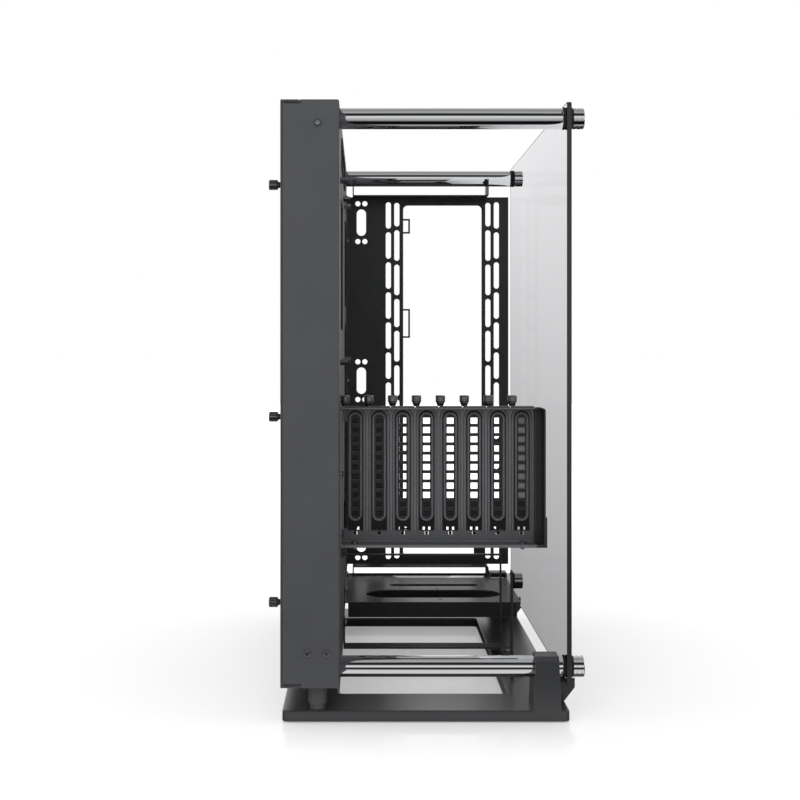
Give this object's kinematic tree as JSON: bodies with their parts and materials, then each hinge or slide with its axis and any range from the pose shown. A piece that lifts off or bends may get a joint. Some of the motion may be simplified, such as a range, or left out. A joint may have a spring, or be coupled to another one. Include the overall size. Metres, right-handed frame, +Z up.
{
  "type": "open air test bench",
  "caption": "Open-frame computer bench: folded steel tray on a ring base, chromed posts carrying a smoked glass panel, vented slot covers and a slotted radiator plate.",
  "frame": {"origin": "under the middle of the whole bench, on the surface that it stands on", "axes": "+X from the rear cover to the glass, +Y from the slot side to the radiator side, +Z up"},
  "size_m": [0.2622, 0.4736, 0.514],
  "materials": {
    "black_steel": "fine black powder coat",
    "dark_steel": "satin black powder coat",
    "chrome": "polished chrome",
    "black_rubber": "matt black rubber",
    "smoked_glass": "smoked toughened glass with polished edges",
    "black_screw": "black zinc"
  },
  "bodies": {
    "root": {"tray_pan": "black_steel", "rear_cover": "black_steel", "cover_thumb_screws": "black_screw", "foot_brackets": "black_steel", "corner_clips": "black_steel", "wall_screws": "black_screw", "base_columns": "black_steel", "column_bolts": "black_screw", "column_nuts": "black_screw", "base_frame": "black_steel", "base_pads": "black_rubber", "glass_rest_pads": "black_rubber", "lower_near_post": "chrome", "upper_near_post": "chrome", "lower_far_post": "chrome", "upper_far_post": "chrome", "post_screws": "black_screw", "glass_panel": "smoked_glass", "glass_washers": "black_rubber", "post_caps": "chrome", "slot_frame": "dark_steel", "slot_brace": "dark_steel", "slot_covers": "dark_steel", "cover_rail": "dark_steel", "slot_thumb_screws": "black_screw", "radiator_plate": "dark_steel", "pump_shelf": "dark_steel", "psu_cradle": "dark_steel", "face_screws": "black_screw", "brace_screws": "black_screw", "cradle_screws": "black_screw", "standoffs": "black_screw", "cable_grommets": "black_rubber"}
  },
  "joints": []
}
